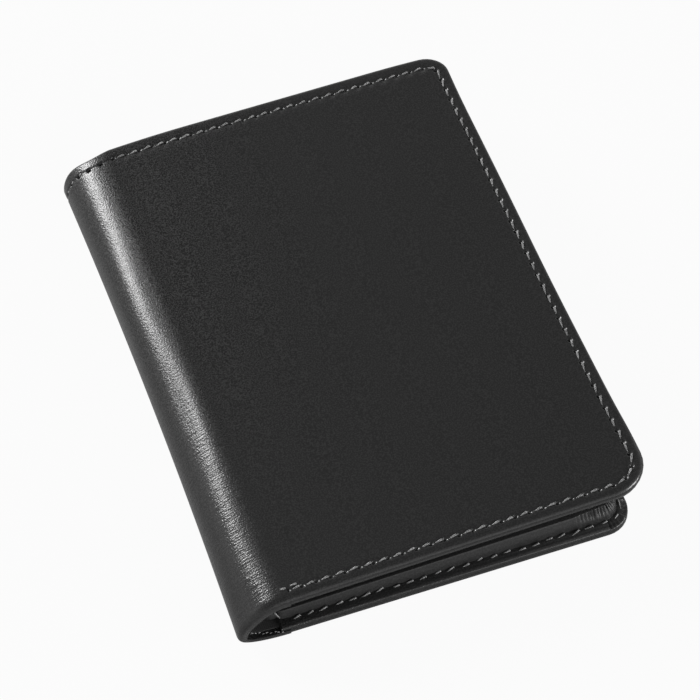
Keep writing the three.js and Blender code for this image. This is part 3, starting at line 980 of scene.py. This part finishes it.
for side, place in PLACES.items():
    free, foot = SLOT_EDGES[side]
    low, high = SLOT_TOPS[side]
    (lower_left, left), base = SLOT_LEFT[side], PANEL_TOP[side]
    lower_rise, upper_rise = POCKET_RISE[side]
    lower_pad, upper_pad = POCKET_PAD[side]
    inner_free, inner_foot = free - SLOT_STEP, foot + SLOT_STEP
    lower = pocket(
        side + "_pocket_1", lower_left, inner_free, inner_foot, LIPS[0], low, base, lower_rise, lower_pad)
    close_mesh(lower, place)
    dress(lower, inner_hide, side, "slot_leather", side + "_card_slot_1", side + "_slot_1_allowance")
    upper = pocket(side + "_pocket_2", left, free, foot, LIPS[1], high, base, upper_rise, upper_pad)
    if side == "back":
        close_mesh(upper, place)
        dress(upper, inner_hide, side, "slot_leather", "back_card_slot_2", "back_slot_2_allowance")
    else:
        bpy.ops.object.mode_set(mode="OBJECT")
        window_frame = upper


# Identity card window.
# The upper pocket of the front half is a frame, with a thumb notch in its lip, and a clear film is
# sewn behind its opening.
WINDOW = ((-20 * mm, -31.6 * mm), (29.2 * mm, 22 * mm))  # two opposite corners
WINDOW_CORNER = 3 * mm
NOTCH_X, NOTCH_RADIUS = 4.6 * mm, 8 * mm
CUT_HEIGHT = 1.4 * mm  # of the tools that cut the opening and the notch
FILM_TINT, FILM_HAZE = (0.09, 0.095, 0.1, 1), 0.25


def cut_away(piece, cutter):
    """Cuts one piece with another, which is then thrown away."""
    bpy.ops.object.mode_set(mode="OBJECT")
    bpy.ops.object.select_all(action="DESELECT")
    bpy.context.view_layer.objects.active = piece
    piece.select_set(True)
    add_modifier(piece, "BOOLEAN", object=cutter, operation="DIFFERENCE", solver="EXACT")
    bpy.data.objects.remove(cutter)


window_top = SLOT_TOPS["front"][1]
bpy.ops.object.select_all(action="DESELECT")
(window_left, window_foot), (window_right, window_head) = WINDOW
window_middle = ((window_left + window_right) / 2, (window_foot + window_head) / 2, window_top)
bpy.ops.mesh.primitive_cube_add(size=1, location=window_middle)
opening = bpy.context.object
opening.scale = (window_right - window_left, window_head - window_foot, CUT_HEIGHT)
bpy.ops.object.transform_apply(location=True, rotation=True, scale=True)
bpy.ops.object.mode_set(mode="EDIT")
pick("EDGE", lambda co: abs(co.z - window_top) < CLOSE)
bpy.ops.mesh.bevel(offset=WINDOW_CORNER, segments=8)
cut_away(window_frame, opening)
bpy.ops.object.select_all(action="DESELECT")
bpy.ops.mesh.primitive_cylinder_add(
    vertices=64, radius=NOTCH_RADIUS, depth=CUT_HEIGHT, location=(NOTCH_X, LIPS[1], window_top))
notch = bpy.context.object
bpy.ops.object.transform_apply(location=True, rotation=True, scale=True)
cut_away(window_frame, notch)
bpy.ops.object.mode_set(mode="EDIT")
close_mesh(window_frame, FRONT_PLACE)
dress(window_frame, inner_hide, "front", "slot_leather", "id_window_frame", "id_window_allowance")


def clear_film(name):
    material = bpy.data.materials.new(name)
    tree = open_tree(material)
    place = tree.node("TexCoord", output="Object")
    ripple = tree.node("TexNoise", inputs={"Vector": place, "Scale": 1 / (14 * mm), "Detail": 1.0})
    bump = tree.node("Bump", inputs={"Strength": 0.5, "Distance": 0.3 * mm, "Height": ripple})
    close_tree(tree, tree.node("BsdfPrincipled", inputs={
        "Base Color": FILM_TINT, "Roughness": 0.1 + ripple * 0.06, "Alpha": FILM_HAZE, "Normal": bump}))
    return material


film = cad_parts["id_window_film"]
film.data.materials.clear()
film.data.materials.append(clear_film("clear window film"))


# Stitches.
# One grey thread sews each cover to its panel in a lockstitch. Every stitch rises out of one needle
# hole, lies a little aslant, and dives into the next.
THREAD = 0.2 * mm  # half its thickness
STITCH_RINGS = 8
STITCH_SLANT = math.radians(10)
STITCH_HEIGHT, TAIL_SINK, STITCH_DIVE = 0.17 * mm, 0.13 * mm, 0.34 * mm
STITCH_SHARE, STITCH_SHIFT = 0.64, 0.06  # of the pitch: its length, and how far on it lies
CREST, DIVE_START = 0.8, 0.86  # along a stitch: where it is highest, and where it turns down
DIVE_THIN = 0.4  # and how much thinner it is where it dives
TAIL_GIRTH, CREST_GIRTH = 0.55, 0.6  # shares of the thread's girth: at the tail, and gained at the crest
BACKTACKS = ((-34.2 * mm, 0.5 * mm), (-31.9 * mm, 0.7 * mm))  # sewn back over the front seam's start
SIDE_STRETCH = 0.25  # beside the free edge the stitches are longer by this share, and lean the other way
LOOSE_TURN, LOOSE_SHIFT = 0.05, (0.05, 0.04, 0.02)  # radians and millimetres: no two lie the same
THREAD_CREASE = 70  # degrees, under which its facets are shaded as one
hand = random.Random(5)


def thread(name, tone):
    """Twisted thread with a waxed sheen."""
    material = bpy.data.materials.new(name)
    tree = open_tree(material)
    place = tree.node("TexCoord", output="Object")
    strands = tree.node("TexNoise", inputs={"Vector": place, "Scale": 1 / (0.25 * mm), "Detail": 2.0})
    bump = tree.node("Bump", inputs={"Strength": 0.7, "Distance": 0.05 * mm, "Height": strands})
    colour = strands.ramp(0.35, 0.65).blend_colours(grey(tone * 0.45), grey(tone * 1.5))
    close_tree(tree, tree.node("BsdfPrincipled", inputs={
        "Base Color": colour, "Roughness": 0.3 + strands * 0.2, "Normal": bump}))
    return material


def one_stitch(length, girth):
    """A single stitch along X: a thin tail that rises to a full crest and dives into the next hole."""
    bpy.ops.object.select_all(action="DESELECT")
    bpy.ops.mesh.primitive_cylinder_add(vertices=6, radius=girth, depth=length, rotation=(0, math.pi / 2, 0))
    piece = bpy.context.object
    bpy.ops.object.transform_apply(location=True, rotation=True, scale=True)
    bpy.ops.object.mode_set(mode="EDIT")
    pick("EDGE", lambda co: abs(co.x) < CLOSE)
    bpy.ops.mesh.subdivide(number_cuts=STITCH_RINGS)
    bpy.ops.object.mode_set(mode="OBJECT")

    def lie(co):
        share = clamp(co.x / length + 0.5)
        rise = eased(share / CREST)
        dive = max(0.0, (share - DIVE_START) / (1 - DIVE_START)) ** 2
        fat = TAIL_GIRTH + CREST_GIRTH * rise * (1 - DIVE_THIN * dive)
        lift = (TAIL_SINK + STITCH_HEIGHT) * rise - TAIL_SINK - STITCH_DIVE * dive
        return Vector((co.x, co.y * fat, co.z * fat + lift * girth / THREAD))

    reshape(piece, lie)
    return piece


def sew(name, stitches, pitch, slant=STITCH_SLANT, girth=THREAD, loose=1.0):
    """Lays a copy of one stitch at each of a list of places, and joins them into a row."""
    pattern = one_stitch(pitch * STITCH_SHARE, girth)
    row = []
    for spot in stitches:
        copy = pattern.copy()
        copy.data = pattern.data.copy()
        aslant = slant + hand.gauss(0, LOOSE_TURN) * loose
        shift = Vector([hand.gauss(0, spread) for spread in LOOSE_SHIFT]) * mm * loose
        shift.x += STITCH_SHIFT * pitch
        copy.data.transform(spot @ Matrix.Translation(shift) @ Matrix.Rotation(aslant, 4, "Z"))
        bpy.context.collection.objects.link(copy)
        row.append(copy)
    bpy.data.objects.remove(pattern)
    bpy.ops.object.select_all(action="DESELECT")
    for copy in row:
        copy.select_set(True)
    bpy.context.view_layer.objects.active = row[0]
    if len(row) > 1:
        bpy.ops.object.join()
    piece = bpy.context.object
    piece.name = name
    bpy.ops.object.mode_set(mode="EDIT")
    return piece


def spot_at(place, along, out, stretch=1.0):
    """Where a stitch lies: its middle, its heading, the way that it faces and how far it is drawn out."""
    side = out.cross(along)
    turn = Matrix((along * stretch, side, out)).transposed().to_4x4()
    return Matrix.Translation(place) @ turn


def seam_spots(seam, level, out):
    spots = []
    for number in range(seam.count):
        x, y, heading = seam.point((number + 0.5) * seam.pitch)
        along = Vector((math.cos(heading), math.sin(heading), 0))
        if heading > math.pi * 0.7:
            along.negate()
        beside = math.sin(heading) ** 2  # 1 along the free edge
        spot = spot_at(Vector((x, y, level)), along, Vector((0, 0, out)), 1 + SIDE_STRETCH * beside)
        spots.append(spot @ Matrix.Rotation(STITCH_SLANT * out * (1 - 2 * beside), 4, "Z"))
    return spots


grey_thread = thread("waxed grey thread", 0.28)
FLUSH = 0.42 * mm  # the outer thread of the back is pressed flush with the leather
for side, seam in (("front", front_seam), ("back", back_seam)):
    outer_level = GROOVE_DEPTH if side == "front" else FLUSH
    for face, level, out in (("outer", outer_level, -1), ("inner", PANEL_TOP[side], 1)):
        spots = seam_spots(seam, level, out)
        if side == "front" and face == "outer":
            for x, y in BACKTACKS:
                middle = Vector((x, seam.low + y, level))
                spots.append(spot_at(middle, Vector((1, 0, 0)), Vector((0, 0, out))))
        row = sew(side + "_" + face + "_seam", spots, seam.pitch, slant=0.0, loose=1 if out < 0 else 3)
        bpy.ops.object.mode_set(mode="OBJECT")
        if side == "front":
            reshape(row, draw_in)
        close_mesh(row, PLACES[side], crease=THREAD_CREASE)
        dress(row, grey_thread, side, "thread")

FOLD_SINK = 0.28 * mm  # the thread is drawn tight round the roll
for part, start, end, body, next_body in FOLD_STRIPS:
    spots = []
    for hole, next_hole in zip(FOLD_HOLES, FOLD_HOLES[1:]):
        middle = (hole + next_hole) / 2
        if start <= middle < end:
            along = (roll(next_hole, 0, FOLD_SEAM) - roll(hole, 0, FOLD_SEAM)).normalized()
            out = along.cross(Vector((0, 1, 0)))
            place = roll(middle, GROOVE_DEPTH + FOLD_SINK, FOLD_SEAM)
            if out.dot(roll(middle, 0, FOLD_SEAM) - roll(middle, 1 * mm, FOLD_SEAM)) < 0:
                out = -out
            spots.append(spot_at(place, along, out))
    row = sew("fold_seam_" + part, spots, PITCH)
    close_mesh(row, crease=THREAD_CREASE)
    dress(row, grey_thread, None, "thread")
    flex(row, part)


# Hollow stitches.
# A short row of small stitches holds the turned edge inside the near end of the roll, and a bar tack
# ends the upper pocket beside it.
HOLLOW_PITCH, HOLLOW_GIRTH = 0.95 * mm, 0.6 * THREAD
HOLLOW_TURNS = (-81, -76, -71, -66, -61, -55, -49, -43, -36, -28)  # degrees round the roll
HOLLOW_Y, HOLLOW_SLOPE = -58.2 * mm, 1.4 * mm / 53  # the row runs a little askew
spots = []
for turn in HOLLOW_TURNS:
    y = HOLLOW_Y + HOLLOW_SLOPE * (turn - HOLLOW_TURNS[-1])
    depth = ROLL_SKIN + end_hem(turn, y)
    place = roll(turn, depth, y)
    along = (roll(turn + 1, depth, y) - roll(turn - 1, depth, y)).normalized()
    out = Vector((0, 1, 0)).cross(along)
    if out.dot(roll(turn, depth + mm, y) - place) < 0:
        out.negate()
    spots.append(spot_at(place, along, out))
row = sew("hollow_seam", spots, HOLLOW_PITCH, girth=HOLLOW_GIRTH, loose=2)
close_mesh(row, crease=THREAD_CREASE)
dress(row, grey_thread, None, "thread")
flex(row, "lower")

TACK_TOP, TACK_FOOT = Vector((-35.06, -56.28, 3.81)) * mm, Vector((-34.48, -57.45, 2.62)) * mm
TACK_FACING = Vector((-0.75, -0.65, 0.3))
along = (TACK_TOP - TACK_FOOT).normalized()
out = (TACK_FACING - along * TACK_FACING.dot(along)).normalized()
spots = [spot_at((TACK_TOP + TACK_FOOT) / 2, along, out)]
row = sew("pocket_tack", spots, (TACK_TOP - TACK_FOOT).length / STITCH_SHARE, slant=0.0)
close_mesh(row, crease=THREAD_CREASE)
dress(row, grey_thread, "back", "thread")
